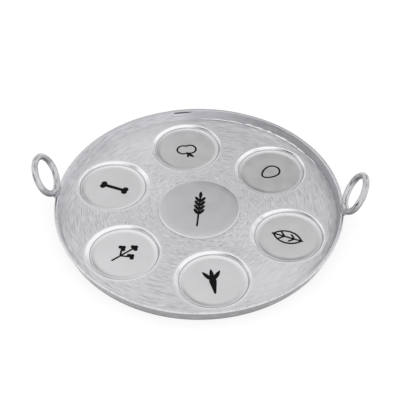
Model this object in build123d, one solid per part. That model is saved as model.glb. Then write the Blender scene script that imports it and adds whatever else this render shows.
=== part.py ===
from build123d import *

import math
import os

# Seder plate: a round metal tray with six sunk dishes, a raised medallion and two ring handles.
# Millimetres and degrees. The origin is the middle of the foot, +Z is up, and +X runs through
# the right-hand handle. The plate is as large as the ring of dishes and the gaps round them need.

# Spun dishes, let into openings of the floor. A low rounded lip laps over the opening's edge, and
# a straight sloping wall runs from it down to the small corner of the dish's floor.
DISH_RADIUS = 42.2
DISH_SUNK = 3.6
DISH_SHEET = 1.2
DISH_WALL_ANGLE = 60.0
DISH_CORNER_RADIUS = 0.7
DISH_FIRST_ANGLE = 103.0
LIP_RADIUS = 2.4
LIP_RISE = 0.3
SEAT_CLEARANCE = 0.3

# Gaps on the tray floor
DISH_GAP = 22.0
DISH_RIM_GAP = 8.2
DISH_MEDALLION_GAP = 17.6

# Tray floor, held high enough for the dishes to clear the table
TABLE_CLEARANCE = 0.8
TRAY_THICKNESS = 2.0

# Rim band, a flared strip whose lower edge is the foot
RIM_HEIGHT = 17.2
RIM_FLARE = 6.4
RIM_THICKNESS = 3.8
RIM_TOP_ROUNDING = 1.0
RIM_FOOT_ROUNDING = 0.5
RIM_WELD_LEG = 1.8

# Medallion, a round-edged disc on the middle of the floor
MEDALLION_THICKNESS = 1.8
MEDALLION_ROUNDING = 1.5

# Ring handles, each held on the rim's top edge by a lump of weld, a little behind the middle line
RING_RADIUS = 21.8
RING_WIRE_RADIUS = 3.9
RING_LEAN = 62.0
HANDLE_SET_BACK = 1.5
HANDLE_WELD_GAP = 1.0
HANDLE_WELD_LENGTH = 22.0
HANDLE_WELD_RADIUS = 4.8

# Black enamel in engraved lines
ENAMEL_DEPTH = 0.5
STROKE = 2.2
SHANK_LENGTH = 27.0
SHANK_WIDTH = 4.4
KNUCKLE_RADIUS = 3.5
EGG_RADIUS = 9.8
LETTUCE_LENGTH = 35.0
LETTUCE_WIDTH = 20.0
LETTUCE_VEIN = 5.0
ROOT_LENGTH = 17.0
ROOT_RADIUS = 4.2
ROOT_TIP_RADIUS = 1.2
CROWN_LEAF_LENGTH = 18.0
CROWN_LEAF_WIDTH = 5.0
CROWN_LEAF_ANGLE = 34.0
SPRIG_LENGTH = 30.0
SPRIG_BRANCH = 8.0
LEAFLET_RADIUS = 2.5
APPLE_RADIUS = 8.2
APPLE_STALK = 6.0
APPLE_LEAF_LENGTH = 10.0
APPLE_LEAF_WIDTH = 4.0
EAR_STALK = 44.0
EAR_STALK_BARE = 18.0
GRAIN_LENGTH = 10.5
GRAIN_WIDTH = 4.0
GRAIN_ANGLE = 34.0
GRAIN_PAIRS = 4

# What follows from the sizes above
DISH_COUNT = 6
DISH_CIRCLE_RADIUS = (DISH_RADIUS + DISH_GAP / 2) / math.sin(math.pi / DISH_COUNT)
MEDALLION_RADIUS = DISH_CIRCLE_RADIUS - DISH_RADIUS - DISH_MEDALLION_GAP
TRAY_LEVEL = TABLE_CLEARANCE + DISH_SHEET + DISH_SUNK
TRAY_UNDERSIDE = TRAY_LEVEL - TRAY_THICKNESS
TRAY_RADIUS = DISH_CIRCLE_RADIUS + DISH_RADIUS + DISH_RIM_GAP
RIM_SLOPE = RIM_FLARE / RIM_HEIGHT
FOOT_RADIUS = TRAY_RADIUS - TRAY_LEVEL * RIM_SLOPE + RIM_THICKNESS
RIM_RADIUS = FOOT_RADIUS + RIM_FLARE
WALL_ANGLE = math.radians(DISH_WALL_ANGLE)
LIP_CENTRE_DEPTH = LIP_RADIUS - LIP_RISE
LIP_CREST_RADIUS = DISH_RADIUS - math.sqrt(LIP_RADIUS**2 - LIP_CENTRE_DEPTH**2)
DISH_BENDS = LIP_RADIUS + DISH_CORNER_RADIUS
DISH_WALL_DROP = DISH_SUNK + LIP_RISE - DISH_BENDS * (1 - math.cos(WALL_ANGLE))
DISH_WALL_RUN = DISH_BENDS * math.sin(WALL_ANGLE) + DISH_WALL_DROP / math.tan(WALL_ANGLE)
DISH_FLOOR_RADIUS = LIP_CREST_RADIUS - DISH_WALL_RUN
DISH_OPENING_RADIUS = LIP_CREST_RADIUS + SEAT_CLEARANCE


def rim_inside(height):
    """Radius of the band's inner face at a height above the foot."""
    return FOOT_RADIUS - RIM_THICKNESS + height * RIM_SLOPE


def turned(section):
    """Solid of revolution about Z of a section drawn as radius and height."""
    return revolve(Plane.XZ * section, Axis.Z)


def make_rim_band():
    """Flared hoop with rounded edges."""
    section = make_face(
        Polyline(
            (rim_inside(0), 0),
            (FOOT_RADIUS, 0),
            (RIM_RADIUS, RIM_HEIGHT),
            (rim_inside(RIM_HEIGHT), RIM_HEIGHT),
            close=True,
        )
    )
    section = fillet(section.vertices().group_by(Axis.Y)[-1], RIM_TOP_ROUNDING)
    section = fillet(section.vertices().group_by(Axis.Y)[0], RIM_FOOT_ROUNDING)
    return turned(section)


def make_rim_weld():
    """Flat-faced weld seam in the corner of floor and band."""
    weld_top = TRAY_LEVEL + RIM_WELD_LEG
    section = Polyline(
        (TRAY_RADIUS - RIM_WELD_LEG, TRAY_LEVEL),
        (TRAY_RADIUS, TRAY_LEVEL),
        (rim_inside(weld_top), weld_top),
        close=True,
    )
    return turned(make_face(section))


def dish_side(corner_radius, lip_radius, lip_start):
    """One face of the dish's sheet: corner, wall and lip."""
    corner_centre = (DISH_FLOOR_RADIUS, DISH_CORNER_RADIUS - DISH_SUNK)
    lip_centre = (LIP_CREST_RADIUS, -LIP_CENTRE_DEPTH)
    lip_sweep = 90 + DISH_WALL_ANGLE - lip_start
    corner = CenterArc(corner_centre, corner_radius, -90, DISH_WALL_ANGLE)
    lip = CenterArc(lip_centre, lip_radius, lip_start, lip_sweep)
    return [corner, Line(corner @ 1, lip @ 1), lip]


def make_dish():
    """Spun dish about Z, with height 0 on the tray floor's upper face."""
    lip_edge_angle = math.degrees(math.asin(LIP_CENTRE_DEPTH / LIP_RADIUS))
    inside = dish_side(DISH_CORNER_RADIUS, LIP_RADIUS, lip_edge_angle)
    under = dish_side(DISH_CORNER_RADIUS + DISH_SHEET, LIP_RADIUS - DISH_SHEET, 90)
    middle = (0, -DISH_SUNK)
    middle_under = (0, -DISH_SUNK - DISH_SHEET)
    seat_end = (LIP_CREST_RADIUS, 0)
    closing = [
        Line(middle, inside[0] @ 0),
        Line(inside[2] @ 0, seat_end),
        Line(seat_end, under[2] @ 0),
        Line(under[0] @ 0, middle_under),
        Line(middle_under, middle),
    ]
    return turned(make_face(inside + under + closing))


def make_medallion():
    """Disc about Z with a rounded upper edge, with height 0 on its underside."""
    section = Rectangle(MEDALLION_RADIUS, MEDALLION_THICKNESS, align=Align.MIN)
    edge = section.vertices().group_by(Axis.X)[-1].sort_by(Axis.Y)[-1]
    return turned(fillet(edge, MEDALLION_ROUNDING))


def make_tray_floor(places):
    """Floor sheet with an opening at each dish's place."""
    section = Polyline(
        (0, TRAY_UNDERSIDE),
        (rim_inside(TRAY_UNDERSIDE), TRAY_UNDERSIDE),
        (TRAY_RADIUS, TRAY_LEVEL),
        (0, TRAY_LEVEL),
        close=True,
    )
    floor = turned(make_face(section))
    for place in places:
        floor -= place * Cylinder(DISH_OPENING_RADIUS, 2 * TRAY_LEVEL)
    return floor


def stroke(start, end):
    """Engraved line of even width with round ends."""
    return SlotArc(Line(start, end), STROKE)


def outline(shape):
    """Engraved line along the inside of a closed shape's edge."""
    return shape - offset(shape, -STROKE)


def leaf(length, width):
    """Pointed leaf of two arcs that runs along X from the origin."""
    stem = (0, 0)
    tip = (length, 0)
    edges = [
        ThreePointArc(stem, (length / 2, width / 2), tip),
        ThreePointArc(tip, (length / 2, -width / 2), stem),
    ]
    return make_face(edges)


def draw_fruit_paste():
    """Outline of an apple with a stalk and a leaf."""
    halves = [Pos(0, side * APPLE_RADIUS / 2) * Circle(APPLE_RADIUS) for side in (-1, 1)]
    apple = outline(halves[0] + halves[1])
    crown = APPLE_RADIUS * math.sqrt(3) / 2
    apple += stroke((crown - STROKE / 2, 0), (crown + APPLE_STALK, 0))
    apple += Pos(crown, 0) * Rot(0, 0, 45) * leaf(APPLE_LEAF_LENGTH, APPLE_LEAF_WIDTH)
    return apple


def draw_egg():
    """Outline of an egg made of four arcs, its blunt end towards -X."""
    edges = [
        CenterArc((0, 0), EGG_RADIUS, 90, 180),
        CenterArc((0, EGG_RADIUS), 2 * EGG_RADIUS, -90, 45),
        CenterArc((EGG_RADIUS, 0), (2 - math.sqrt(2)) * EGG_RADIUS, -45, 90),
        CenterArc((0, -EGG_RADIUS), 2 * EGG_RADIUS, 45, 45),
    ]
    return Pos(-EGG_RADIUS / 3, 0) * outline(make_face(edges))


def draw_lettuce():
    """Leaf with a midrib and two pairs of slanting veins."""
    drawing = outline(leaf(LETTUCE_LENGTH, LETTUCE_WIDTH))
    drawing += stroke((0, 0), (LETTUCE_LENGTH, 0))
    for pair in (1, 2):
        foot = LETTUCE_LENGTH * pair / 3 - LETTUCE_VEIN / 2
        for side in (-1, 1):
            drawing += stroke((foot, 0), (foot + LETTUCE_VEIN, side * LETTUCE_VEIN))
    return Pos(-LETTUCE_LENGTH / 2, 0) * drawing


def draw_bitter_herb():
    """Tapering root with three leaves at its crown."""
    ends = Circle(ROOT_RADIUS) + Pos(-ROOT_LENGTH, 0) * Circle(ROOT_TIP_RADIUS)
    herb = make_hull(ends.edges())
    for turn in (-CROWN_LEAF_ANGLE, 0, CROWN_LEAF_ANGLE):
        herb += Rot(0, 0, turn) * leaf(CROWN_LEAF_LENGTH, CROWN_LEAF_WIDTH)
    return herb


def draw_greens():
    """Sprig with a pair of branches, each end in three leaflets."""
    sprig = stroke((0, 0), (SPRIG_LENGTH, 0))
    fork = (SPRIG_LENGTH - SPRIG_BRANCH) / 2
    tips = [(SPRIG_LENGTH, 0)]
    for side in (-1, 1):
        tip = (fork + SPRIG_BRANCH, side * SPRIG_BRANCH)
        sprig += stroke((fork, 0), tip)
        tips.append(tip)
    for tip in tips:
        for turn in (-90, 0, 90):
            sprig += Pos(*tip) * Rot(0, 0, turn) * Pos(LEAFLET_RADIUS, 0) * Circle(LEAFLET_RADIUS)
    return Pos(-SPRIG_LENGTH / 2, 0) * sprig


def draw_shank_bone():
    """Bone with two knuckles at each end."""
    bone = Rectangle(SHANK_LENGTH, SHANK_WIDTH)
    for end in (-1, 1):
        for side in (-1, 1):
            knuckle = Pos(end * SHANK_LENGTH / 2, side * SHANK_WIDTH / 2)
            bone += knuckle * Circle(KNUCKLE_RADIUS)
    return bone


def draw_wheat_ear():
    """Ear of wheat with paired grains and one at its tip."""
    grain = Pos(GRAIN_LENGTH / 2, 0) * Ellipse(GRAIN_LENGTH / 2, GRAIN_WIDTH / 2)
    ear = stroke((0, 0), (EAR_STALK, 0))
    ear += Pos(EAR_STALK, 0) * grain
    pitch = (EAR_STALK - EAR_STALK_BARE) / GRAIN_PAIRS
    for pair in range(GRAIN_PAIRS):
        foot = Pos(EAR_STALK_BARE + pair * pitch, 0)
        for side in (-1, 1):
            ear += foot * Rot(0, 0, side * GRAIN_ANGLE) * grain
    return Pos(-(EAR_STALK + GRAIN_LENGTH) / 2, 0) * ear


def enamel(drawing, surface):
    """Enamel that fills an engraved drawing up to a surface's height."""
    return extrude(Pos(0, 0, surface) * drawing, -ENAMEL_DEPTH)


def make_right_handle(rim_band):
    """Ring that stands on the rim's outer edge and leans out, and the weld that holds it."""
    lean = math.radians(RING_LEAN)
    upwards = Vector(math.cos(lean), 0, math.sin(lean))
    across = Vector(-math.sin(lean), 0, math.cos(lean))
    seat_radius = RIM_RADIUS - RIM_TOP_ROUNDING
    wire_bottom = Vector(seat_radius, 0, RIM_HEIGHT + HANDLE_WELD_GAP + RING_WIRE_RADIUS)
    ring_place = Plane(wire_bottom + upwards * RING_RADIUS, x_dir=upwards, z_dir=across)
    ring = ring_place * Torus(RING_RADIUS, RING_WIRE_RADIUS)
    # The lump is a short bar along the rim, cut to an oval outline.
    bar = Rot(90, 0, 0) * Cylinder(HANDLE_WELD_RADIUS, HANDLE_WELD_LENGTH)
    oval = Ellipse(HANDLE_WELD_RADIUS + HANDLE_WELD_GAP, HANDLE_WELD_LENGTH / 2)
    lump = bar & extrude(oval, HANDLE_WELD_RADIUS, both=True)
    lump = Pos(seat_radius, 0, RIM_HEIGHT + HANDLE_WELD_GAP / 2) * lump
    set_back = Rot(0, 0, HANDLE_SET_BACK)
    return set_back * ring, set_back * (lump - ring) - rim_band


# The foods, clockwise from the first dish
DRAWINGS = {
    "fruit_paste": draw_fruit_paste,
    "egg": draw_egg,
    "lettuce": draw_lettuce,
    "bitter_herb": draw_bitter_herb,
    "greens": draw_greens,
    "shank_bone": draw_shank_bone,
}


def make_pieces():
    """Every piece in its place, by name."""
    # A dish's own +X points to the middle of the plate.
    places = [
        Rot(0, 0, DISH_FIRST_ANGLE - 360 * number / DISH_COUNT)
        * Pos(DISH_CIRCLE_RADIUS, 0, TRAY_LEVEL)
        * Rot(0, 0, 180)
        for number in range(DISH_COUNT)
    ]
    pieces = {
        "tray_floor": make_tray_floor(places),
        "rim_band": make_rim_band(),
        "rim_weld_seam": make_rim_weld(),
    }
    dish = make_dish()
    for place, (food, draw) in zip(places, DRAWINGS.items()):
        inlay = enamel(draw(), -DISH_SUNK)
        pieces[f"dish_{food}"] = place * (dish - inlay)
        pieces[f"inlay_{food}"] = place * inlay
    inlay = enamel(draw_wheat_ear(), MEDALLION_THICKNESS)
    middle = Pos(0, 0, TRAY_LEVEL) * Rot(0, 0, 90)
    pieces["centre_medallion"] = middle * (make_medallion() - inlay)
    pieces["inlay_wheat_ear"] = middle * inlay
    ring, weld = make_right_handle(pieces["rim_band"])
    pieces["ring_handle_right"] = ring
    pieces["ring_handle_left"] = mirror(ring, Plane.YZ)
    pieces["handle_weld_right"] = weld
    pieces["handle_weld_left"] = mirror(weld, Plane.YZ)
    return pieces


os.makedirs("parts", exist_ok=True)
for name, shape in make_pieces().items():
    export_step(shape, f"parts/{name}.step")
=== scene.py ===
"""Seder plate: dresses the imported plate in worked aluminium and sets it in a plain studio."""

import logging
import math
from collections.abc import Callable, Iterator
from contextlib import contextmanager
from dataclasses import dataclass
from enum import Enum
from itertools import pairwise

import bpy
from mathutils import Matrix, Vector


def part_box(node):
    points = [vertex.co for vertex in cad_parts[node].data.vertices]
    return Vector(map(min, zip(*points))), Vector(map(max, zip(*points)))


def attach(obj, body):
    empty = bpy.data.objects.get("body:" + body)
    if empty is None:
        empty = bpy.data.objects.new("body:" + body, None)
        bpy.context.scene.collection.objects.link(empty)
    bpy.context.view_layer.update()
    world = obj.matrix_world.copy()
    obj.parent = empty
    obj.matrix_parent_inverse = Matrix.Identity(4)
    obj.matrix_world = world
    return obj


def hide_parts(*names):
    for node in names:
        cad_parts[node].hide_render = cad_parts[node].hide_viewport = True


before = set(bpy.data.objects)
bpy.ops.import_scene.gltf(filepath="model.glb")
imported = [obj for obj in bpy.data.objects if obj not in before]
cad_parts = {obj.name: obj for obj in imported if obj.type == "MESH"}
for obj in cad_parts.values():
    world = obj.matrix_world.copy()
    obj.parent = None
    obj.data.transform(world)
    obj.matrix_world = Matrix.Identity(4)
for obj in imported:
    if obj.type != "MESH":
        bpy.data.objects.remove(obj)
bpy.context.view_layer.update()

LOG = logging.getLogger("seder_plate")
MM = 0.001
SAME_PLACE = MM / 100
FULL_TURN = 2 * math.pi
WITHOUT_HEIGHT = (1, 1, 0)
# Most values of a noise lie in this span
NOISE_SPAN = (0.3, 0.7)
WHITE = "FFFFFF"
RIM_FLARE = 6.4 * MM
# The enamel stands this far above the metal round it
INLAY_STAND = 0.04 * MM
BODY = "root"

Outline = list[Vector]
Pair = tuple[float, float]
Colour = tuple[float, float, float, float]
Paint = str | bpy.types.NodeSocket
Chooser = Callable[[bpy.types.MeshPolygon], bool]


class Side(Enum):
    """The two ends of the plate that carry a handle, with the sign of X there."""

    LEFT = -1
    RIGHT = 1


class Food(Enum):
    """The foods that the dishes hold, clockwise from the back."""

    FRUIT_PASTE = "fruit_paste"
    EGG = "egg"
    LETTUCE = "lettuce"
    BITTER_HERB = "bitter_herb"
    GREENS = "greens"
    SHANK_BONE = "shank_bone"


class Push(Enum):
    """The way in which uneven hand work moves a surface."""

    IN_AND_OUT = "NORMAL"
    ANY_WAY = "RGB_TO_XYZ"


class Wave(Enum):
    """The shape of the waves that hand work leaves."""

    SOFT = "SOFT_NOISE"
    CREASED = "HARD_NOISE"


# Shaping tools


def linear(hex_code: str) -> Colour:
    """Turn an sRGB hex value into the linear colour that a shader takes.

    Args:
        hex_code: Six hex digits, red first.

    Returns:
        Linear red, green and blue, and an alpha of 1.
    """
    channels = [int(hex_code[n : n + 2], 16) / 255 for n in (0, 2, 4)]
    red, green, blue = (c / 12.92 if c <= 0.04045 else ((c + 0.055) / 1.055) ** 2.4 for c in channels)
    return red, green, blue, 1.0


def direction(azimuth: float, elevation: float) -> Vector:
    """Point from the plate towards a place round it.

    Args:
        azimuth: Degrees round the plate, 0 in front and 90 at its right-hand side.
        elevation: Degrees above the table.

    Returns:
        A unit vector.
    """
    turn, rise = math.radians(azimuth), math.radians(elevation)
    return Vector((math.sin(turn) * math.cos(rise), -math.cos(turn) * math.cos(rise), math.sin(rise)))


def select_only(piece: bpy.types.Object) -> None:
    """Make one piece the only one selected, and active.

    Args:
        piece: The piece.
    """
    bpy.ops.object.select_all(action="DESELECT")
    piece.select_set(True)
    bpy.context.view_layer.objects.active = piece


@contextmanager
def editing(piece: bpy.types.Object, chosen: Chooser | None = None) -> Iterator[None]:
    """Hold one piece in edit mode.

    Args:
        piece: The piece to edit.
        chosen: Tells whether a face is selected. Without it the whole mesh is.

    Yields:
        Nothing. The piece is back in object mode afterwards.
    """
    select_only(piece)
    bpy.ops.object.mode_set(mode="EDIT")
    bpy.ops.mesh.select_mode(type="FACE" if chosen else "VERT")
    bpy.ops.mesh.select_all(action="DESELECT" if chosen else "SELECT")
    if chosen:
        bpy.ops.object.mode_set(mode="OBJECT")
        for face in piece.data.polygons:
            face.select = chosen(face)
        bpy.ops.object.mode_set(mode="EDIT")
    try:
        yield
    finally:
        bpy.ops.object.mode_set(mode="OBJECT")


def new_piece(name: str) -> bpy.types.Object:
    """Name the primitive that was just added, and put its place into its mesh.

    Args:
        name: The new piece's name.

    Returns:
        The new piece.
    """
    piece = bpy.context.active_object
    piece.name = name
    piece.data.name = name
    bpy.ops.object.transform_apply(location=True, rotation=True, scale=True)
    return piece


def arc(centre: Vector, radius: float, start: float, end: float, steps: int) -> Outline:
    """Points along an arc, both ends included.

    Args:
        centre: Middle of the arc, as radius and height.
        radius: The arc's radius.
        start: Angle of the first point, in degrees.
        end: Angle of the last point, in degrees.
        steps: Number of stretches between the points.

    Returns:
        The arc's points.
    """
    angles = [math.radians(start + (end - start) * n / steps) for n in range(steps + 1)]
    return [centre + radius * Vector((math.cos(a), math.sin(a))) for a in angles]


def rounded(corners: Outline, radii: list[float], steps: int) -> Outline:
    """Round the corners of a closed outline.

    Args:
        corners: The outline's corners in order.
        radii: Rounding of each corner, 0 for a sharp one.
        steps: Number of stretches in each rounding.

    Returns:
        The points of the rounded outline.
    """
    points = []
    for n, (corner, radius) in enumerate(zip(corners, radii)):
        if not radius:
            points.append(corner)
            continue
        ways = [(corners[m % len(corners)] - corner).normalized() for m in (n - 1, n + 1)]
        half = ways[0].angle(ways[1]) / 2
        centre = corner + (ways[0] + ways[1]).normalized() * radius / math.sin(half)
        start, end = (corner + way * radius / math.tan(half) - centre for way in ways)
        sweep = start.angle_signed(end)
        first = math.degrees(math.atan2(start.y, start.x))
        points += arc(centre, radius, first, first - math.degrees(sweep), steps)
    return points


def divided(outline: Outline, longest: float) -> Outline:
    """Add points to an outline.

    Args:
        outline: The outline's points.
        longest: Length that no stretch between two points may pass.

    Returns:
        The old points and the new ones, in order.
    """
    points = [outline[0]]
    for here, there in pairwise(outline):
        pieces = max(1, math.ceil((there - here).length / longest))
        points += [here.lerp(there, n / pieces) for n in range(1, pieces + 1)]
    return points


def curved_floor(flat: float, edge: float, height: float, rise: float, steps: int) -> Outline:
    """Section of a round floor that curves up or down towards its edge.

    Args:
        flat: Radius of the flat middle.
        edge: Radius at which the curve ends. The point there is left to what follows.
        height: Height of the flat middle.
        rise: How much higher the floor ends, or lower if it is negative.
        steps: Number of stretches in the curve.

    Returns:
        Points of radius and height, from the middle outwards.
    """
    parts = [n / steps for n in range(steps)]
    curve = [Vector((flat + part * (edge - flat), height + rise * part**2)) for part in parts]
    return [Vector((0, height)), *curve]


def turn_on_lathe(name: str, outline: Outline, steps: int) -> bpy.types.Object:
    """Turn an outline of radius and height round the Z axis.

    Args:
        name: The new piece's name.
        outline: Points of the section. A closed section ends on its first point.
        steps: Number of facets round the piece.

    Returns:
        The turned piece, closed and with its faces outwards.
    """
    bpy.ops.object.select_all(action="DESELECT")
    bpy.ops.mesh.primitive_plane_add(size=MM)
    piece = new_piece(name)
    stops = [Vector((point.x, 0, point.y)) for point in outline]
    with editing(piece):
        bpy.ops.mesh.merge(type="CENTER")
        bpy.ops.transform.translate(value=stops[0])
        for here, there in pairwise(stops):
            bpy.ops.mesh.extrude_region_move(TRANSFORM_OT_translate={"value": there - here})
        bpy.ops.mesh.select_all(action="SELECT")
        bpy.ops.mesh.spin(steps=steps, angle=FULL_TURN, center=(0, 0, 0), axis=(0, 0, 1))
        bpy.ops.mesh.select_all(action="SELECT")
        bpy.ops.mesh.remove_doubles(threshold=SAME_PLACE)
        bpy.ops.mesh.normals_make_consistent(inside=False)
    return piece


def soften(piece: bpy.types.Object, angle: float) -> None:
    """Shade a piece smoothly, apart from edges sharper than an angle in degrees."""
    select_only(piece)
    bpy.ops.object.shade_smooth_by_angle(angle=math.radians(angle))


def apply_modifier(piece: bpy.types.Object, modifier: bpy.types.Modifier) -> None:
    """Apply one of a piece's modifiers."""
    select_only(piece)
    bpy.ops.object.modifier_apply(modifier=modifier.name)


def gather(piece: bpy.types.Object, name: str, weights: list[float]) -> str:
    """Give a piece a vertex group.

    Args:
        piece: The piece.
        name: The group's name.
        weights: One weight for each of the mesh's points.

    Returns:
        The group's name.
    """
    group = piece.vertex_groups.new(name=name)
    for index, weight in enumerate(weights):
        group.add([index], weight, "REPLACE")
    return name


@dataclass(frozen=True)
class HandWork:
    """Unevenness that hand tools leave, as waves of a length and depth in millimetres.

    The middle is the part of the depth that lies below the even surface.
    """

    length: float
    depth: float
    push: Push
    wave: Wave = Wave.SOFT
    middle: float = 0.5

    def work(self, piece: bpy.types.Object, group: str = "") -> None:
        """Wear the unevenness into a piece's mesh.

        Args:
            piece: The piece.
            group: The vertex group whose weights say how much. Without one it is worn in all over.
        """
        waves = bpy.data.textures.new("hand_work", "CLOUDS")
        waves.noise_scale = self.length * MM
        waves.noise_depth = 1
        waves.noise_type = self.wave.value
        waves.cloud_type = "COLOR"
        modifier = piece.modifiers.new("hand_work", "DISPLACE")
        modifier.texture = waves
        modifier.texture_coords = "LOCAL"
        modifier.direction = self.push.value
        modifier.strength = self.depth * MM
        modifier.mid_level = self.middle
        modifier.vertex_group = group
        apply_modifier(piece, modifier)
        bpy.data.textures.remove(waves)


def hand_over(piece: bpy.types.Object, node: str, material: bpy.types.Material) -> None:
    """Dress a new piece and let it stand for its CAD node.

    Args:
        piece: The modelled piece.
        node: The CAD node that the piece stands for.
        material: The piece's finish.
    """
    piece.data.materials.clear()
    piece.data.materials.append(material)
    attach(piece, BODY)
    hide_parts(node)
    LOG.info("%s stands for %s, %d faces", piece.name, node, len(piece.data.polygons))


def dress_node(node: str, material: bpy.types.Material) -> None:
    """Give a CAD node that keeps its own mesh a better finish.

    Args:
        node: The CAD node.
        material: The node's finish.
    """
    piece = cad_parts[node]
    piece.data.materials.clear()
    piece.data.materials.append(material)
    LOG.info("%s keeps its mesh", node)


# Finishes


class Nodes:
    """A tree of shader nodes."""

    def __init__(self, tree: bpy.types.NodeTree) -> None:
        """Take up a tree.

        Args:
            tree: The tree that nodes are added to.
        """
        self.tree = tree

    def add(self, kind: str, settings: dict[str, object], inputs: dict[str | int, object]) -> bpy.types.Node:
        """Add a node.

        Args:
            kind: Blender's name for the kind of node, without its first word.
            settings: Values of the node's own properties.
            inputs: A value, or a node or socket to link, for each input by name or number.

        Returns:
            The new node.
        """
        node = self.tree.nodes.new(f"ShaderNode{kind}")
        for name, value in settings.items():
            setattr(node, name, value)
        self.feed(node, inputs)
        return node

    def feed(self, node: bpy.types.Node, inputs: dict[str | int, object]) -> None:
        """Set or link some of a node's inputs.

        Args:
            node: The node.
            inputs: A value, or a node or socket to link, for each input by name or number.
        """
        for name, value in inputs.items():
            if isinstance(value, bpy.types.Node):
                value = value.outputs[0]
            if isinstance(value, bpy.types.NodeSocket):
                self.tree.links.new(value, node.inputs[name])
            else:
                node.inputs[name].default_value = value


class Shader(Nodes):
    """A material's nodes round one Principled BSDF."""

    def __init__(self, name: str) -> None:
        """Start an empty material.

        Args:
            name: The material's name.
        """
        self.material = bpy.data.materials.new(name)
        self.material.use_nodes = True
        super().__init__(self.material.node_tree)
        self.surface = self.tree.nodes["Principled BSDF"]

    def layered(self, base: str, layers: list[tuple[bpy.types.Node, Paint]]) -> bpy.types.NodeSocket:
        """Lay colours over each other.

        Args:
            base: The lowest colour.
            layers: How far each further colour covers those below it, and that colour.

        Returns:
            The colour that shows.
        """
        shown = linear(base)
        for share, paint in layers:
            over = linear(paint) if isinstance(paint, str) else paint
            shown = self.add("Mix", {"data_type": "RGBA"}, {"Factor": share, 6: shown, 7: over}).outputs[2]
        return shown

    def cloudy_gloss(self, clouds: bpy.types.Node, roughness: Pair) -> bpy.types.Node:
        """Spread a range of roughness over the clouds of a noise."""
        low, high = NOISE_SPAN
        return self.add("MapRange", {}, {"Value": clouds, 1: low, 2: high, 3: roughness[0], 4: roughness[1]})

    def streaks_round(self, flat: bpy.types.Node, rows: bpy.types.Node, turns: float) -> bpy.types.Node:
        """Stretch places into streaks that run round the plate.

        Args:
            flat: Places without their height.
            rows: What lies beside what, counted in widths of a streak.
            turns: Lengths of a streak in the radius of its circle.

        Returns:
            Places for a noise.
        """
        around = self.add("VectorMath", {"operation": "NORMALIZE"}, {0: flat})
        along = self.add("VectorMath", {"operation": "SCALE"}, {0: around, "Scale": turns})
        lift = self.add("CombineXYZ", {}, {"Z": rows})
        return self.add("VectorMath", {"operation": "ADD"}, {0: along, 1: lift})

    def bare_metal(
        self, colour: bpy.types.NodeSocket, gloss: bpy.types.Node, relief: bpy.types.Node
    ) -> bpy.types.Material:
        """Make the surface bare metal.

        Args:
            colour: The metal's colour.
            gloss: Its roughness.
            relief: Its bumps.

        Returns:
            The finished material.
        """
        look = {"Base Color": colour, "Metallic": 1.0, "Roughness": gloss, "Normal": relief}
        self.feed(self.surface, look)
        return self.material


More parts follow.
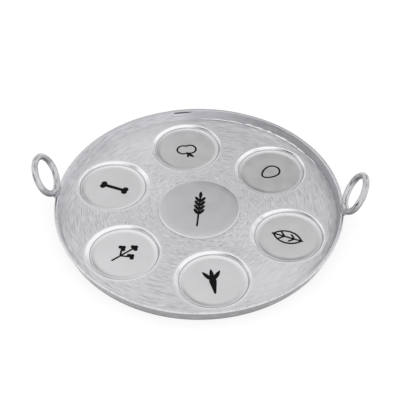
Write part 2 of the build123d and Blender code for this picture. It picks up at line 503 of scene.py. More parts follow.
@dataclass(frozen=True)
class BrushedSheet:
    """Aluminium sheet scoured with a wire brush in short strokes round the plate's middle.

    The strokes scatter light across their own direction, so the sheet looks silky and pale, with thin
    darker lines scored along the circle and cloudy patches where the brush bit more. Two places are
    rubbed smoother, painted shade darkens the sheet beside the rim on the right, and a narrow ring round
    each dish is burnished. Real strokes are about 0.3 mm wide, and are drawn some three times as coarse so
    that they show. Lengths are in millimetres.
    """

    name: str = "wire_brushed_aluminium"
    bright: str = "E5E4E6"
    # Colour of the scratches, and also of the painted shade beside the rim
    scratch_and_shade: str = "A6A5A9"
    roughness: Pair = (0.34, 0.43)
    patch: float = 13.0
    burnished: float = 0.26
    burnish_width: float = 3.0
    burnish_share: float = 0.15
    anisotropy: float = 0.7
    across_strokes: float = 0.25
    stroke_width: float = 1.0
    stroke_length: float = 13.0
    stroke_radius: float = 100.0
    hair_fineness: float = 1.7
    hair_span: Pair = (0.35, 0.65)
    hair_share: float = 0.52
    score_fineness: float = 1.0
    score_span: Pair = (0.56, 0.72)
    score_share: float = 0.42
    wander: float = 3.0
    wander_length: float = 24.0
    scratch_depth: float = 0.04
    scratch_strength: float = 0.7
    # Painted shade beside the rim on the right: radii over which it comes in, places across where it grows,
    # and its share
    painted_rim_shade: Pair = (146.0, 157.0)
    painted_rim_shade_right: Pair = (60.0, 135.0)
    painted_rim_shade_share: float = 0.4
    rubbed_places: tuple[Pair, ...] = ((-72.0, 122.0), (92.0, -116.0))
    rubbed_reach: Pair = (20.0, 60.0)
    rubbed_share: float = 0.45

    def material(self, dishes: list[Vector], dish_radius: float) -> bpy.types.Material:
        """Build the finish.

        Args:
            dishes: Middles of the dishes, round which the sheet is burnished.
            dish_radius: Outside radius of the dishes.

        Returns:
            The material.
        """
        shader = Shader(self.name)
        place = shader.add("TexCoord", {}, {}).outputs["Object"]
        flat = shader.add("VectorMath", {"operation": "MULTIPLY"}, {0: place, 1: WITHOUT_HEIGHT})
        strokes = self.rubbed(shader, flat, self.strokes(shader, place, flat))
        brushed = self.off_the_dishes(shader, flat, dishes, dish_radius)
        scratches_and_shade = shader.add("Math", {"operation": "MULTIPLY"}, {0: strokes, 1: brushed})
        patches = shader.add("TexNoise", {}, {"Vector": place, "Scale": 1 / (self.patch * MM), "Detail": 4.0})
        cloudy = shader.cloudy_gloss(patches, self.roughness)
        gloss = shader.add("Mix", {"data_type": "FLOAT"}, {"Factor": brushed, 2: self.burnished, 3: cloudy})
        depth = {"Strength": self.scratch_strength, "Distance": self.scratch_depth * MM}
        relief = shader.add("Bump", {"invert": True}, {"Height": scratches_and_shade, **depth})
        circling = shader.add("Tangent", {"direction_type": "RADIAL", "axis": "Z"}, {})
        stretch = {"Anisotropic": self.anisotropy, "Anisotropic Rotation": self.across_strokes}
        shader.feed(shader.surface, {"Tangent": circling, **stretch})
        return shader.bare_metal(shader.layered(self.bright, [(scratches_and_shade, self.scratch_and_shade)]), gloss, relief)

    def strokes(
        self, shader: Shader, place: bpy.types.NodeSocket, flat: bpy.types.Node
    ) -> bpy.types.Node:
        """Draw the fine hairs and deeper scores of the brush, over the painted shade beside the rim.

        Args:
            shader: The material's nodes.
            place: Places on the sheet.
            flat: The same places without their height.

        Returns:
            How dark the sheet is.
        """
        radius = shader.add("VectorMath", {"operation": "LENGTH"}, {0: flat}).outputs["Value"]
        scale = 1 / (self.wander_length * MM)
        sway = shader.add("TexNoise", {}, {"Vector": place, "Scale": scale, "Detail": 1.0})
        swayed = shader.add("Math", {"operation": "MULTIPLY_ADD"}, {0: sway, 1: self.wander * MM, 2: radius})
        rows = shader.add("Math", {"operation": "DIVIDE"}, {0: swayed, 1: self.stroke_width * MM})
        stroke_place = shader.streaks_round(flat, rows, self.stroke_radius / self.stroke_length)
        # Painted shade beside the rim, only on the right, under the brush's strokes
        across = shader.add("SeparateXYZ", {}, {0: place}).outputs["X"]
        start, end = (limit * MM for limit in self.painted_rim_shade_right)
        share = shader.add("MapRange", {}, {"Value": across, 1: start, 2: end, 4: self.painted_rim_shade_share})
        start, end = (limit * MM for limit in self.painted_rim_shade)
        dark = shader.add("MapRange", {}, {"Value": swayed, 1: start, 2: end, 4: share})
        for fineness, (start, end), share in (
            (self.hair_fineness, self.hair_span, self.hair_share),
            (self.score_fineness, self.score_span, self.score_share),
        ):
            noise = shader.add("TexNoise", {}, {"Vector": stroke_place, "Scale": fineness, "Detail": 1.0})
            drawn = shader.add("MapRange", {}, {"Value": noise, 1: start, 2: end, 4: share})
            dark = shader.add("Math", {"operation": "ADD"}, {0: dark, 1: drawn})
        return dark

    def rubbed(self, shader: Shader, flat: bpy.types.Node, strokes: bpy.types.Node) -> bpy.types.Node:
        """Wear the strokes down in the rubbed places.

        Args:
            shader: The material's nodes.
            flat: Places on the sheet without their height.
            strokes: How dark the strokes make the sheet.

        Returns:
            How dark what is left of them makes it.
        """
        start, end = (reach * MM for reach in self.rubbed_reach)
        for rubbed in self.rubbed_places:
            middle = Vector(rubbed).to_3d() * MM
            away = shader.add("VectorMath", {"operation": "DISTANCE"}, {0: flat, 1: middle}).outputs["Value"]
            left = shader.add("MapRange", {}, {"Value": away, 1: start, 2: end, 3: self.rubbed_share})
            strokes = shader.add("Math", {"operation": "MULTIPLY"}, {0: strokes, 1: left})
        return strokes

    def off_the_dishes(
        self, shader: Shader, flat: bpy.types.Node, dishes: list[Vector], dish_radius: float
    ) -> bpy.types.Node:
        """Tell the brushed sheet from the burnished rings round the dishes.

        Args:
            shader: The material's nodes.
            flat: Places on the sheet without their height.
            dishes: Middles of the dishes.
            dish_radius: Outside radius of the dishes.

        Returns:
            1 on the brushed sheet, and little beside a dish.
        """
        apart = dish_radius + self.burnish_width * MM
        nearest = apart
        for dish in dishes:
            away = shader.add("VectorMath", {"operation": "DISTANCE"}, {0: flat, 1: (dish.x, dish.y, 0)})
            nearest = shader.add("Math", {"operation": "MINIMUM"}, {0: away.outputs["Value"], 1: nearest})
        return shader.add(
            "MapRange",
            {"interpolation_type": "SMOOTHSTEP"},
            {"Value": nearest, 1: dish_radius, 2: apart, 3: self.burnish_share},
        )


@dataclass(frozen=True)
class SpunSheet:
    """Aluminium spun over a former and rubbed smooth.

    The lathe leaves very faint rings, and handling leaves shallow dents and cloudy patches of more and less
    gloss. The lip takes its own colour over a span of height: on the dishes, from the floor's edge halfway
    up the wall, it is lighter, partly burnish and partly a painted highlight; on the medallion it is darker,
    painted shade down its rounded edge. The groove is painted darker as shade. Lengths are in millimetres.
    """

    name: str = "spun_aluminium"
    floor: str = "E0DFE1"
    # Lighter lip and upper wall of the dishes: partly burnish, partly a painted highlight
    lip: str = "EAE9EB"
    # Painted shade in the groove round the dish's floor
    groove: str = "AEADB1"
    roughness: Pair = (0.19, 0.25)
    ring_width: float = 1.4
    ring_depth: float = 0.004
    patch: float = 16.0
    dent: float = 30.0
    dent_depth: float = 0.12

    def material(self, name: str, centre: Vector, lip_height: Pair, groove: Pair) -> bpy.types.Material:
        """Build the finish of one turned piece.

        Args:
            name: What the piece is.
            centre: Middle of the lathe's rings.
            lip_height: Heights at which the lip's colour starts and is full.
            groove: Middle radius and half width of the groove, which is painted darker as shade.

        Returns:
            The material.
        """
        shader = Shader(f"{self.name}_{name}")
        whole = shader.add("TexCoord", {}, {}).outputs["Object"]
        place = shader.add("Mapping", {}, {"Vector": whole, "Location": (-centre.x, -centre.y, 0)})
        flat = shader.add("VectorMath", {"operation": "MULTIPLY"}, {0: place, 1: WITHOUT_HEIGHT})
        radius = shader.add("VectorMath", {"operation": "LENGTH"}, {0: flat}).outputs["Value"]
        height = shader.add("SeparateXYZ", {}, {0: whole}).outputs["Z"]
        # The lip's colour: on the dishes partly burnish and partly a painted highlight, on the medallion
        # painted shade
        on_lip = shader.add("MapRange", {}, {"Value": height, 1: lip_height[0], 2: lip_height[1]})
        # Painted shade in the groove
        groove_shade_mask = shader.add("Math", {"operation": "COMPARE"}, {0: radius, 1: groove[0], 2: groove[1]})
        colour = shader.layered(self.floor, [(on_lip, self.lip), (groove_shade_mask, self.groove)])
        patches = shader.add("TexNoise", {}, {"Vector": whole, "Scale": 1 / (self.patch * MM), "Detail": 3.0})
        dents = shader.add("TexNoise", {}, {"Vector": whole, "Scale": 1 / (self.dent * MM), "Detail": 0.0})
        rings = shader.add(
            "TexNoise",
            {"noise_dimensions": "1D"},
            {"W": radius, "Scale": 1 / (self.ring_width * MM), "Detail": 2.0},
        )
        waves = shader.add("Bump", {}, {"Height": dents, "Distance": self.dent_depth * MM})
        relief = shader.add("Bump", {}, {"Height": rings, "Distance": self.ring_depth * MM, "Normal": waves})
        return shader.bare_metal(colour, shader.cloudy_gloss(patches, self.roughness), relief)


@dataclass(frozen=True)
class FiledBand:
    """Rolled aluminium strip with satin walls and a top edge that a file has left bright and ticked.

    Rolling leaves streaks along the walls. The inner wall is painted darker as shade in some stretches,
    given by where each change starts and ends across the plate and by its share. The outside is painted
    darker all round as shade, with a painted shadow at the foot, the edge is painted darker towards the
    back as shade, and the lap's gap is painted dark as its shadow. Lengths are in millimetres.
    """

    name: str = "filed_aluminium_strip"
    wall: str = "DAD9DD"
    # Colour of the painted shade on stretches of the inner wall
    shaded_wall: str = "9C9BA0"
    # Steps of painted shade on the inner wall: start and end across the plate, and share
    wall_shading_steps: tuple[tuple[float, float, float], ...] = (
        (-38.0, -18.0, 0.45),
        (5.0, 60.0, -0.23),
        (92.0, 122.0, 0.68),
        (138.0, 156.0, -0.38),
    )
    # Painted shade: the outside is darker all round
    outside: str = "8C8B8F"
    # Painted shadow at the foot of the outside, and the height it reaches
    foot_shadow: str = "5E5D61"
    foot_shadow_height: float = 4.0
    edge: str = "DAD9DC"
    # The edge is painted darker towards the back as shade: its colour and the span over which it grows
    shaded_edge: str = "C4C3C7"
    edge_shade_span: Pair = (10.0, 120.0)
    edge_depth: float = 1.3
    edge_blur: float = 0.4
    tick_span: Pair = (0.5, 0.62)
    tick_share: float = 0.35
    file_mark: float = 2.2
    file_depth: float = 0.12
    streak: str = "B2B1B5"
    streak_length: float = 14.0
    streak_height: float = 1.5
    streak_span: Pair = (0.45, 0.7)
    streak_share: float = 0.7
    # Painted shadow in the lap's gap, and how it fades
    gap: str = "77767B"
    gap_fade: Pair = (1.0, 0.7)
    roughness: Pair = (0.28, 0.40)
    grain: float = 9.0

    def material(
        self, top: Vector, slope: float, thickness: float, gap: Vector, gap_reach: Vector
    ) -> bpy.types.Material:
        """Build the finish.

        Args:
            top: Radius and height of the band's outer top edge.
            slope: How far the band leans out for each unit of height.
            thickness: The band's thickness.
            gap: Middle of the gap where the strip's ends lap, which is painted dark as its shadow.
            gap_reach: How far the painted shadow reaches along each axis.

        Returns:
            The material.
        """
        shader = Shader(self.name)
        place = shader.add("TexCoord", {}, {}).outputs["Object"]
        across, back, height = shader.add("SeparateXYZ", {}, {0: place}).outputs
        flat = shader.add("VectorMath", {"operation": "MULTIPLY"}, {0: place, 1: WITHOUT_HEIGHT})
        around = shader.add("VectorMath", {"operation": "NORMALIZE"}, {0: flat})
        scale = top.x / (self.file_mark * MM)
        marks = shader.add("TexNoise", {}, {"Vector": around, "Scale": scale, "Detail": 1.0})
        edge_start = top.y - (self.edge_depth + self.edge_blur) * MM
        on_edge = shader.add(
            "MapRange",
            {"interpolation_type": "SMOOTHSTEP"},
            {"Value": height, 1: edge_start, 2: edge_start + 2 * self.edge_blur * MM},
        )
        radius = shader.add("VectorMath", {"operation": "LENGTH"}, {0: flat}).outputs["Value"]
        upright = shader.add("Math", {"operation": "MULTIPLY_ADD"}, {0: height, 1: -slope, 2: radius})
        foot = top.x - top.y * slope
        # The band's outer half, painted darker as shade
        outer_half = {1: foot - thickness / 2, 2: foot - thickness / 4}
        outwards = shader.add("MapRange", {}, {"Value": upright, **outer_half})
        # Painted shadow on the outside, darker towards the foot
        low_down = shader.add("MapRange", {}, {"Value": height, 1: self.foot_shadow_height * MM, 2: 0.0})
        foot_shadowed = shader.add("Math", {"operation": "MULTIPLY"}, {0: low_down, 1: outwards})
        rows = shader.add("Math", {"operation": "DIVIDE"}, {0: height, 1: self.streak_height * MM})
        streak_place = shader.streaks_round(flat, rows, top.x / (self.streak_length * MM))
        streaks = shader.add("TexNoise", {}, {"Vector": streak_place, "Scale": 1.0, "Detail": 2.0})
        start, end = self.streak_span
        drawn = shader.add("MapRange", {}, {"Value": streaks, 1: start, 2: end, 4: self.streak_share})
        layers = [
            # Painted shade on stretches of the inner wall
            (self.painted_shading(shader, across), self.shaded_wall),
            # Painted shade over the whole outside
            (outwards, self.outside),
            (drawn, self.streak),
            # Painted shadow at the foot
            (foot_shadowed, self.foot_shadow),
            # The filed edge, painted darker towards the back as shade
            (on_edge, self.filed_edge(shader, back, marks)),
            # Painted shadow in the lap's gap
            (self.in_gap(shader, place, gap, gap_reach), self.gap),
        ]
        grain = shader.add("TexNoise", {}, {"Vector": place, "Scale": 1 / (self.grain * MM), "Detail": 4.0})
        filed = shader.add("Math", {"operation": "MULTIPLY"}, {0: marks, 1: on_edge})
        relief = shader.add("Bump", {}, {"Height": filed, "Distance": self.file_depth * MM})
        gloss = shader.cloudy_gloss(grain, self.roughness)
        return shader.bare_metal(shader.layered(self.wall, layers), gloss, relief)

    def painted_shading(self, shader: Shader, across: bpy.types.NodeSocket) -> bpy.types.Node:
        """Add up the steps of painted shade over stretches of the inner wall.

        Args:
            shader: The material's nodes.
            across: Places from left to right.

        Returns:
            How much painted shade the wall has.
        """
        dull = 0.0
        for start, end, share in self.wall_shading_steps:
            step = shader.add("MapRange", {}, {"Value": across, 1: start * MM, 2: end * MM, 4: share})
            dull = shader.add("Math", {"operation": "ADD"}, {0: step, 1: dull})
        return dull

    def filed_edge(
        self, shader: Shader, back: bpy.types.NodeSocket, marks: bpy.types.Node
    ) -> bpy.types.NodeSocket:
        """Colour the top edge, which is painted darker at the back as shade and ticked by the file.

        Args:
            shader: The material's nodes.
            back: Places from front to back.
            marks: Noise of the file's marks.

        Returns:
            The edge's colour.
        """
        # Painted shade on the edge, growing towards the back
        start, end = (limit * MM for limit in self.edge_shade_span)
        painted_shading = shader.add("MapRange", {}, {"Value": back, 1: start, 2: end})
        start, end = self.tick_span
        ticks = shader.add("MapRange", {}, {"Value": marks, 1: start, 2: end, 4: self.tick_share})
        return shader.layered(self.edge, [(painted_shading, self.shaded_edge), (ticks, self.streak)])

    def in_gap(
        self, shader: Shader, place: bpy.types.NodeSocket, gap: Vector, gap_reach: Vector
    ) -> bpy.types.Node:
        """Tell the lap's gap, painted dark as its shadow, from the rest of the band.

        Args:
            shader: The material's nodes.
            place: Places on the band.
            gap: Middle of the gap.
            gap_reach: How far the painted shadow reaches along each axis.

        Returns:
            1 in the gap, and 0 away from it.
        """
        away = shader.add("VectorMath", {"operation": "SUBTRACT"}, {0: place, 1: gap})
        reach = shader.add("VectorMath", {"operation": "DIVIDE"}, {0: away, 1: gap_reach})
        apart = shader.add("VectorMath", {"operation": "LENGTH"}, {0: reach}).outputs["Value"]
        start, end = self.gap_fade
        return shader.add("MapRange", {}, {"Value": apart, 1: start, 2: end})


@dataclass(frozen=True)
class WorkedMetal:
    """Aluminium with an even grain of bumps: rubbed wire, or weld left as it cooled.

    Faces that look down are painted darker as shade. The grain is in millimetres.
    """

    name: str
    bright: str
    dull: str
    # Colour of the painted shade on faces that look down
    underside: str
    roughness: Pair
    grain: float
    grain_depth: float
    grain_strength: float = 0.7
    # Upward part of the normal at which the painted shade starts and is full
    shade_facing_span: Pair = (0.25, -0.3)

    def material(self) -> bpy.types.Material:
        """Build the finish.

        Returns:
            The material.
        """
        shader = Shader(self.name)
        place = shader.add("TexCoord", {}, {}).outputs["Object"]
        grain = shader.add("TexNoise", {}, {"Vector": place, "Scale": 1 / (self.grain * MM), "Detail": 3.0})
        # Painted shade on faces that look down
        facing = shader.add("NewGeometry", {}, {}).outputs["Normal"]
        upwards = shader.add("SeparateXYZ", {}, {0: facing}).outputs["Z"]
        start, end = self.shade_facing_span
        below = shader.add("MapRange", {}, {"Value": upwards, 1: start, 2: end})
        colour = shader.layered(self.dull, [(grain, self.bright), (below, self.underside)])
        depth = {"Strength": self.grain_strength, "Distance": self.grain_depth * MM}
        relief = shader.add("Bump", {}, {"Height": grain, **depth})
        return shader.bare_metal(colour, shader.cloudy_gloss(grain, self.roughness), relief)


@dataclass(frozen=True)
class Enamel:
    """Cold black enamel, poured into engraved lines and levelled, with a slightly uneven, low gloss."""

    name: str = "black_cold_enamel"
    colour: str = "050405"
    worn: str = "0E0D0D"
    roughness: Pair = (0.45, 0.65)
    specular: float = 0.08
    grain: float = 2.5

    def material(self) -> bpy.types.Material:
        """Build the finish.

        Returns:
            The material.
        """
        shader = Shader(self.name)
        place = shader.add("TexCoord", {}, {}).outputs["Object"]
        grain = shader.add("TexNoise", {}, {"Vector": place, "Scale": 1 / (self.grain * MM), "Detail": 2.0})
        colour = shader.layered(self.colour, [(grain, self.worn)])
        gloss = shader.cloudy_gloss(grain, self.roughness)
        look = {"Base Color": colour, "Roughness": gloss, "Specular IOR Level": self.specular}
        shader.feed(shader.surface, look)
        return shader.material


@dataclass(frozen=True)
class PaperFloor:
    """White seamless paper, lit a little by itself so that it shows white and keeps a soft shadow."""

    name: str = "white_seamless_paper"
    colour: str = "808080"
    glow: float = 0.81
    roughness: float = 0.9

    def material(self) -> bpy.types.Material:
        """Build the finish.

        Returns:
            The material.
        """
        shader = Shader(self.name)
        rays = shader.add("LightPath", {}, {}).outputs
        seen = rays["Is Camera Ray"]
        for ray in ("Is Glossy Ray", "Is Transmission Ray"):
            seen = shader.add("Math", {"operation": "MAXIMUM"}, {0: seen, 1: rays[ray]})
        strength = shader.add("Math", {"operation": "MULTIPLY"}, {0: seen, 1: self.glow})
        shader.feed(
            shader.surface,
            {
                "Base Color": linear(self.colour),
                "Roughness": self.roughness,
                "Specular IOR Level": 0.0,
                "Emission Color": linear(WHITE),
                "Emission Strength": strength,
            },
        )
        return shader.material


# The plate's pieces


@dataclass
class TrayFloor:
    """The round floor sheet with an opening for each dish, and the raised medallion on its middle."""

    seat: float = 0.3 * MM
    facets: int = 192
    crease: float = 30.0
    opening_facets: int = 96
    punch_length: float = 3.0
    medallion_rounding: float = 1.5 * MM
    medallion_shoulder: float = 84.0
    medallion_flat: float = 36.0 * MM
    medallion_fall: float = 0.12 * MM
    medallion_steps: int = 8
    medallion_crease: float = 40.0
    # The medallion's lip colour is darker: painted shade down its rounded edge
    medallion_finish: SpunSheet = SpunSheet(floor="D6D5D8", lip="C4C3C7")

    def build(self) -> None:
        """Model and dress the floor and the medallion."""
        low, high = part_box("tray_floor")
        slant = (high.z - low.z) * RIM_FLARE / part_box("rim_band")[1].z
        section = [
            Vector((0, low.z)),
            Vector((high.x - slant, low.z)),
            Vector((high.x, high.z)),
            Vector((0, high.z)),
        ]
        piece = turn_on_lathe("brushed_tray_floor", section, self.facets)
        self.cut_openings(piece)
        soften(piece, self.crease)
        boxes = [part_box(f"dish_{food.value}") for food in Food]
        middles = [(first + last) / 2 for first, last in boxes]
        dish_radius = (boxes[0][1].x - boxes[0][0].x) / 2
        hand_over(piece, "tray_floor", BrushedSheet().material(middles, dish_radius))
        self.build_medallion()

    def cut_openings(self, piece: bpy.types.Object) -> None:
        """Cut the openings that the dishes sit in.

        Args:
            piece: The floor sheet.
        """
        low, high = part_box("tray_floor")
        for food in Food:
            dish_low, dish_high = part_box(f"dish_{food.value}")
            middle = (dish_low + dish_high) / 2
            bpy.ops.object.select_all(action="DESELECT")
            bpy.ops.mesh.primitive_cylinder_add(
                vertices=self.opening_facets,
                radius=(dish_high.x - dish_low.x) / 2 - self.seat,
                depth=self.punch_length * (high.z - low.z),
                location=(middle.x, middle.y, (low.z + high.z) / 2),
            )
            punch = new_piece("opening_punch")
            modifier = piece.modifiers.new("opening", "BOOLEAN")
            modifier.operation = "DIFFERENCE"
            modifier.solver = "EXACT"
            modifier.object = punch
            apply_modifier(piece, modifier)
            bpy.data.objects.remove(punch)

    def build_medallion(self) -> None:
        """Model and dress the medallion, which falls a little towards its rounded edge."""
        low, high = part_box("centre_medallion")
        top = high.z - INLAY_STAND
        shoulder = top - self.medallion_fall
        edge = Vector((high.y - self.medallion_rounding, shoulder - self.medallion_rounding))
        steps = self.medallion_steps
        section = curved_floor(self.medallion_flat, edge.x, top, -self.medallion_fall, steps)
        section += arc(edge, self.medallion_rounding, self.medallion_shoulder, 0, steps)
        section += [Vector((high.y, low.z)), Vector((0, low.z))]
        piece = turn_on_lathe("raised_medallion", section, self.facets)
        soften(piece, self.medallion_crease)
        no_groove = (high.y, 0.0)
        material = self.medallion_finish.material("medallion", Vector((0, 0)), (top, low.z), no_groove)
        hand_over(piece, "centre_medallion", material)


@dataclass
class RimBand:
    """The flared hoop round the floor, rolled and filed by hand, and the weld in its inner corner.

    The strip's ends lap at the back, where a slit shows that is painted dark as its shadow, and the weld is
    ragged at the back right.
    """

    thickness: float = 3.8 * MM
    top_rounding: float = 1.1 * MM
    foot_rounding: float = 0.5 * MM
    rounding_steps: int = 4
    longest: float = 2.2 * MM
    facets: int = 360
    crease: float = 40.0
    room: float = 0.35 * MM
    rolling: HandWork = HandWork(length=38, depth=0.5, push=Push.ANY_WAY)
    filing: HandWork = HandWork(length=6, depth=0.35, push=Push.IN_AND_OUT)
    filed_part: float = 0.125
    lap_angles: Pair = (98.5, 106.5)
    lap_height: float = 14.4 * MM
    lap_lip: float = 0.25 * MM
    lap_depth: float = 0.9 * MM
    # How far the lap's painted shadow reaches along each axis
    lap_shadow_reach: tuple[float, float, float] = (14.0 * MM, 6.0 * MM, 0.75 * MM)
    weld_radius: float = 0.75 * MM
    weld_sunk: float = 0.15 * MM
    weld_facets: tuple[int, int] = (720, 12)
    weld_beads: HandWork = HandWork(length=5, depth=7.0, push=Push.IN_AND_OUT, middle=0.36)
    weld_crease: float = 80.0
    weld_finish: WorkedMetal = WorkedMetal(
        name="cooled_aluminium_weld",
        bright="F2F1F3",
        dull="D2D1D4",
        # Painted shade on the weld's downward faces
        underside="B9B8BB",
        roughness=(0.3, 0.45),
        grain=1.8,
        grain_depth=0.12,
    )
    ragged_angle: float = 63.0
    ragged_spread: float = 33.0
    smooth_weight: float = 0.12

    def build(self) -> None:
        """Model and dress the band and its weld seam."""
        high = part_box("rim_band")[1]
        slope = RIM_FLARE / high.z
        top, outside = high.z - self.room, high.x - self.room
        foot = outside - top * slope
        corners = [
            Vector((foot - self.thickness, 0)),
            Vector((foot, 0)),
            Vector((outside, top)),
            Vector((outside - self.thickness, top)),
        ]
        radii = [self.foot_rounding, self.foot_rounding, self.top_rounding, self.top_rounding]
        section = rounded(corners, radii, self.rounding_steps)
        piece = turn_on_lathe("hand_rolled_rim", divided(section + section[:1], self.longest), self.facets)
        self.open_lap(piece)
        heights = [point.co.z / top for point in piece.data.vertices]
        self.rolling.work(piece, gather(piece, "above_foot", heights))
        edges = [max(0.0, 1 - (1 - height) / self.filed_part) for height in heights]
        self.filing.work(piece, gather(piece, "top_edge", edges))
        soften(piece, self.crease)
        inner = outside - self.thickness - (top - self.lap_height) * slope
        turn = math.radians(sum(self.lap_angles) / 2)
        gap = Vector((inner * math.cos(turn), inner * math.sin(turn), self.lap_height))
        material = FiledBand().material(
            Vector((outside, top)), slope, self.thickness, gap, Vector(self.lap_shadow_reach)
        )
        hand_over(piece, "rim_band", material)
        self.build_weld()

    def open_lap(self, piece: bpy.types.Object) -> None:
        """Sink the gap that shows where the strip's ends lap, on the inside at the back.

        Args:
            piece: The band.
        """

        def in_lap(face: bpy.types.MeshPolygon) -> bool:
            """Look for the faces that are sunk.

            Args:
                face: A face of the band.

            Returns:
                Whether the face lies in the lap's gap.
            """
            angle = math.degrees(math.atan2(face.center.y, face.center.x))
            inwards = face.normal.dot(face.center) < 0
            near = abs(face.center.z - self.lap_height) < self.longest / 2
            return inwards and near and self.lap_angles[0] < angle < self.lap_angles[1]

        with editing(piece, in_lap):
            bpy.ops.mesh.inset(thickness=self.lap_lip, depth=-self.lap_depth)

    def raggedness(self, point: bpy.types.MeshVertex, floor: float) -> float:
        """Weight of a point of the weld.

        Args:
            point: A point of the weld's mesh.
            floor: Height of the tray floor, below which the weld stays even.

        Returns:
            1 at the back right, where the seam was filled by hand, and less away from there.
        """
        if point.co.z < floor:
            return 0.0
        turn = math.degrees(math.atan2(point.co.y, point.co.x)) - self.ragged_angle
        return max(self.smooth_weight, 1 - (turn / self.ragged_spread) ** 2)

    def build_weld(self) -> None:
        """Model and dress the uneven weld in the corner of floor and band."""
        low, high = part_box("rim_weld_seam")
        bpy.ops.object.select_all(action="DESELECT")
        bpy.ops.mesh.primitive_torus_add(
            major_radius=high.y - 2 * self.weld_sunk,
            minor_radius=self.weld_radius,
            major_segments=self.weld_facets[0],
            minor_segments=self.weld_facets[1],
            location=(0, 0, low.z + self.weld_sunk),
        )
        piece = new_piece("rim_weld_bead")
        weights = [self.raggedness(point, low.z) for point in piece.data.vertices]
        self.weld_beads.work(piece, gather(piece, "ragged", weights))
        soften(piece, self.weld_crease)
        hand_over(piece, "rim_weld_seam", self.weld_finish.material())


@dataclass
class DishRing:
    """The six spun dishes, each with a rounded lip, a sloping wall and a groove round its floor."""

    lip_radius: float = 1.3 * MM
    lip_land: float = 0.5 * MM
    lip_stand: float = 0.03 * MM
    sheet: float = 1.2 * MM
    wall_angle: float = 53.0
    groove_radius: float = 38.1 * MM
    groove_width: float = 0.8 * MM
    groove_depth: float = 0.35 * MM
    edge_radius: float = 0.45 * MM
    flat_radius: float = 31.5 * MM
    floor_rise: float = 0.4 * MM
    floor_steps: int = 8
    facets: int = 160
    arc_steps: int = 10
    crease: float = 35.0
    rubbing: HandWork = HandWork(length=22, depth=0.3, push=Push.ANY_WAY)
    slips: tuple[Pair, ...] = (
        (0.7, 0.9),
        (0.7, 0.8),
        (1.3, 1.0),
        (0.6, 0.6),
        (0.9, 0.5),
        (-1.2, 0.5),
    )

    def outline(self, radius: float, floor: float, seat: float) -> Outline:
        """Section of a dish, from the middle of its floor round the lip to the middle of its underside.

        Args:
            radius: Outside radius of the lip.
            floor: Height of the dish's floor.
            seat: Height of the tray floor that the lip sits on.

        Returns:
            Points of radius and height.
        """
        slope = math.radians(self.wall_angle)
        crest = seat + self.lip_stand
        lip = Vector((radius - self.lip_land, crest - self.lip_radius))
        bend = lip + self.lip_radius * Vector((-math.sin(slope), math.cos(slope)))
        ledge = floor + self.floor_rise
        foot = Vector((bend.x - (bend.y - ledge) / math.tan(slope), ledge))
        groove = [self.groove_radius + side * self.groove_width / 2 for side in (-1, 1)]
        edge = Vector((groove[0] - self.edge_radius, ledge - self.edge_radius))
        inside = curved_floor(self.flat_radius, edge.x, floor, self.floor_rise, self.floor_steps)
        inside += arc(edge, self.edge_radius, 90, 0, self.arc_steps // 2)
        inside += [Vector((self.groove_radius, ledge - self.groove_depth)), Vector((groove[1], ledge)), foot]
        inside += arc(lip, self.lip_radius, 90 + self.wall_angle, 90, self.arc_steps)
        inside += [Vector((radius, seat)), Vector((lip.x, seat))]
        under = arc(lip, self.lip_radius - self.sheet, 90, 90 + self.wall_angle, self.arc_steps)
        base = floor - self.sheet
        under += [Vector((foot.x - (base - ledge) / math.tan(slope), base)), Vector((0, base))]
        return inside + under

    def build(self) -> None:
        """Model one dish, then copy, work and dress it for each food."""
        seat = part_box("tray_floor")[1].z
        low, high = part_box("dish_egg")
        floor = low.z + self.sheet - INLAY_STAND
        pattern = turn_on_lathe("dish_pattern", self.outline((high.y - low.y) / 2, floor, seat), self.facets)
        enamel = Enamel().material()
        for food, slip in zip(Food, self.slips):
            self.place_dish(pattern, food, Vector(slip) * MM, floor, seat)
            dress_node(f"inlay_{food.value}", enamel)
        dress_node("inlay_wheat_ear", enamel)
        bpy.data.objects.remove(pattern)

    def place_dish(
        self, pattern: bpy.types.Object, food: Food, slip: Vector, floor: float, seat: float
    ) -> None:
        """Copy the pattern to a food's place, and work and dress the copy.

        Args:
            pattern: The dish that is copied.
            food: What the dish holds.
            slip: How far the dish's floor sits off the middle of its lip.
            floor: Height of the dish's floor.
            seat: Height of the tray floor that the lip sits on.
        """
        low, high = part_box(f"dish_{food.value}")
        middle = (low + high) / 2
        select_only(pattern)
        bpy.ops.object.duplicate()
        bpy.ops.transform.translate(value=(middle.x, middle.y, 0))
        piece = new_piece(f"spun_dish_{food.value}")
        ledge = floor + self.floor_rise
        with editing(piece, lambda face: face.center.z < ledge + SAME_PLACE):
            bpy.ops.transform.translate(value=slip.to_3d())
        heights = [(point.co.z - floor) / (seat - floor) for point in piece.data.vertices]
        weights = [min(1.0, max(0.0, height)) for height in heights]
        self.rubbing.work(piece, gather(piece, "lip", weights))
        soften(piece, self.crease)
        groove = (self.groove_radius, self.groove_width / 2)
        lip_height = (ledge, (floor + seat) / 2)
        material = SpunSheet().material(food.value, middle.xy + slip, lip_height, groove)
        hand_over(piece, f"dish_{food.value}", material)


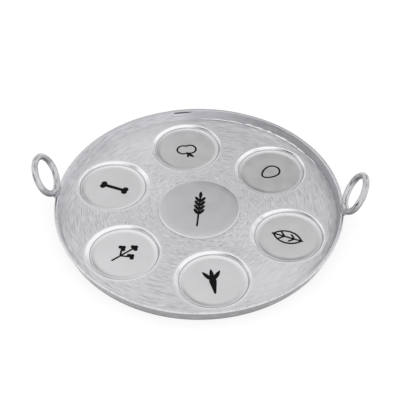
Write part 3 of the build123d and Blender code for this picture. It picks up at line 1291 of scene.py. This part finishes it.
@dataclass
class RingHandle:
    """A forged wire ring that stands on the rim, and the lump of weld that holds it."""

    side: Side
    ring_radius: float = 21.8 * MM
    wire_radius: float = 3.9 * MM
    lean: float = 62.0
    set_back: float = 1.5
    room: float = 0.05 * MM
    facets: tuple[int, int] = (160, 28)
    crease: float = 80.0
    forging: HandWork = HandWork(length=12, depth=0.7, push=Push.IN_AND_OUT, wave=Wave.CREASED)
    wire_finish: WorkedMetal = WorkedMetal(
        name="rubbed_aluminium_wire",
        bright="D8D7DA",
        dull="98979B",
        # Painted shade on the wire's downward faces
        underside="6A696D",
        roughness=(0.12, 0.2),
        grain=8.0,
        grain_depth=0.08,
    )
    weld_rings: int = 24
    welding: HandWork = HandWork(length=5, depth=1.4, push=Push.IN_AND_OUT, wave=Wave.CREASED)
    lump_finish: WorkedMetal = WorkedMetal(
        name="cooled_aluminium_lump",
        bright="B9B8BB",
        dull="9C9B9E",
        # Painted shade on the lump's downward faces
        underside="8C8B8F",
        roughness=(0.35, 0.5),
        grain=2.5,
        grain_depth=0.25,
    )

    def build(self) -> None:
        """Model and dress the ring and its weld."""
        self.build_ring()
        self.build_weld()

    def build_ring(self) -> None:
        """Model and dress the ring."""
        node = f"ring_handle_{self.side.name.lower()}"
        low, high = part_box(node)
        turn = self.side.value
        bpy.ops.object.select_all(action="DESELECT")
        bpy.ops.mesh.primitive_torus_add(
            major_radius=self.ring_radius,
            minor_radius=self.wire_radius - self.room,
            major_segments=self.facets[0],
            minor_segments=self.facets[1],
            location=(low + high) / 2,
            rotation=(0, -turn * math.radians(self.lean), turn * math.radians(self.set_back)),
        )
        piece = new_piece(f"forged_{node}")
        self.forging.work(piece)
        soften(piece, self.crease)
        hand_over(piece, node, self.wire_finish.material())

    def build_weld(self) -> None:
        """Model and dress the lump of weld under the ring."""
        node = f"handle_weld_{self.side.name.lower()}"
        low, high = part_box(node)
        # A ball one unit across is drawn out to the size of the weld
        bpy.ops.object.select_all(action="DESELECT")
        bpy.ops.mesh.primitive_uv_sphere_add(
            segments=2 * self.weld_rings, ring_count=self.weld_rings, radius=0.5, location=(low + high) / 2
        )
        bpy.ops.transform.resize(value=high - low)
        piece = new_piece(f"lumpy_{node}")
        self.welding.work(piece)
        soften(piece, self.crease)
        hand_over(piece, node, self.lump_finish.material())


# The studio


@dataclass(frozen=True)
class Softbox:
    """A soft studio lamp that faces the plate."""

    name: str
    azimuth: float
    elevation: float
    distance: float
    width: float
    depth: float
    radiance: float

    def hang(self) -> None:
        """Hang the lamp."""
        lamp = bpy.data.lights.new(self.name, "AREA")
        lamp.shape = "RECTANGLE"
        lamp.size = self.width
        lamp.size_y = self.depth
        lamp.energy = self.radiance * math.pi * self.width * self.depth
        holder = bpy.data.objects.new(self.name, lamp)
        bpy.context.scene.collection.objects.link(holder)
        away = direction(self.azimuth, self.elevation)
        holder.location = away * self.distance
        holder.rotation_euler = away.to_track_quat("Z", "Y").to_euler()


@dataclass(frozen=True)
class TentPatch:
    """A soft round patch of the light tent's wall, brighter than the rest or darkened by a flag.

    Its place and spread are in degrees. The change of level is full within its core, a part of the spread.
    """

    azimuth: float
    elevation: float
    spread: float
    change: float
    core: float = 0.3


@dataclass(frozen=True)
class Studio:
    """A white paper floor in a light tent, with a softbox overhead."""

    floor_size: float = 8.0
    tent: float = 1.13
    brightest: float = 1.16
    patches: tuple[TentPatch, ...] = (
        TentPatch(280.0, 74.0, 75.0, 0.48),
        TentPatch(25.0, 9.0, 90.0, 0.72),
        TentPatch(86.0, 74.0, 53.0, -0.45),
        TentPatch(205.0, 37.0, 21.0, 0.52),
        TentPatch(196.0, 16.0, 45.0, -1.65),
        TentPatch(318.0, -16.0, 62.0, -1.3),
        TentPatch(196.0, 2.0, 44.0, 1.55),
        TentPatch(0.0, 90.0, 38.0, -0.5),
    )
    softbox: Softbox = Softbox(
        name="overhead_softbox",
        azimuth=280.0,
        elevation=74.0,
        distance=1.3,
        width=1.2,
        depth=1.2,
        radiance=0.1,
    )

    def build(self) -> None:
        """Lay the floor, light the tent and hang the softbox."""
        bpy.ops.object.select_all(action="DESELECT")
        bpy.ops.mesh.primitive_plane_add(size=self.floor_size)
        floor = new_piece("paper_floor")
        floor.data.materials.append(PaperFloor().material())
        self.light_tent()
        self.softbox.hang()
        bpy.context.scene.view_settings.view_transform = "Standard"

    def light_tent(self) -> None:
        """Light the tent's wall evenly, apart from its soft patches."""
        world = bpy.data.worlds.new("light_tent")
        world.use_nodes = True
        bpy.context.scene.world = world
        nodes = Nodes(world.node_tree)
        place = nodes.add("TexCoord", {}, {}).outputs["Generated"]
        level = self.tent
        for patch in self.patches:
            middle = direction(patch.azimuth, patch.elevation)
            facing = nodes.add("VectorMath", {"operation": "DOT_PRODUCT"}, {0: place, 1: middle})
            edge, core = (math.cos(math.radians(patch.spread * part)) for part in (1.0, patch.core))
            change = nodes.add(
                "MapRange",
                {"interpolation_type": "SMOOTHSTEP"},
                {"Value": facing.outputs["Value"], 1: edge, 2: core, 4: patch.change},
            )
            level = nodes.add("Math", {"operation": "ADD"}, {0: change, 1: level})
        level = nodes.add("Math", {"operation": "MINIMUM"}, {0: level, 1: self.brightest})
        nodes.feed(world.node_tree.nodes["Background"], {"Color": linear(WHITE), "Strength": level})


@dataclass(frozen=True)
class PhotoCamera:
    """The camera at the photograph's viewing angle, aimed at the middle of the rim's top."""

    azimuth: float = 4.91
    elevation: float = 44.87
    distance: float = 1.4
    lens: float = 111.3
    shift: Pair = (0.0023, 0.0060)

    def place(self) -> None:
        """Add the camera and make it the scene's."""
        data = bpy.data.cameras.new("photo_camera")
        data.lens = self.lens
        data.shift_x, data.shift_y = self.shift
        camera = bpy.data.objects.new("photo_camera", data)
        bpy.context.scene.collection.objects.link(camera)
        away = direction(self.azimuth, self.elevation)
        target = Vector((0, 0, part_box("rim_band")[1].z))
        camera.location = target + self.distance * away
        camera.rotation_euler = away.to_track_quat("Z", "Y").to_euler()
        bpy.context.scene.camera = camera


def main() -> None:
    """Build the plate and its studio."""
    logging.basicConfig(level=logging.INFO, format="%(name)s: %(message)s")
    Studio().build()
    PhotoCamera().place()
    TrayFloor().build()
    RimBand().build()
    DishRing().build()
    for side in Side:
        RingHandle(side).build()


if __name__ == "__main__":
    main()
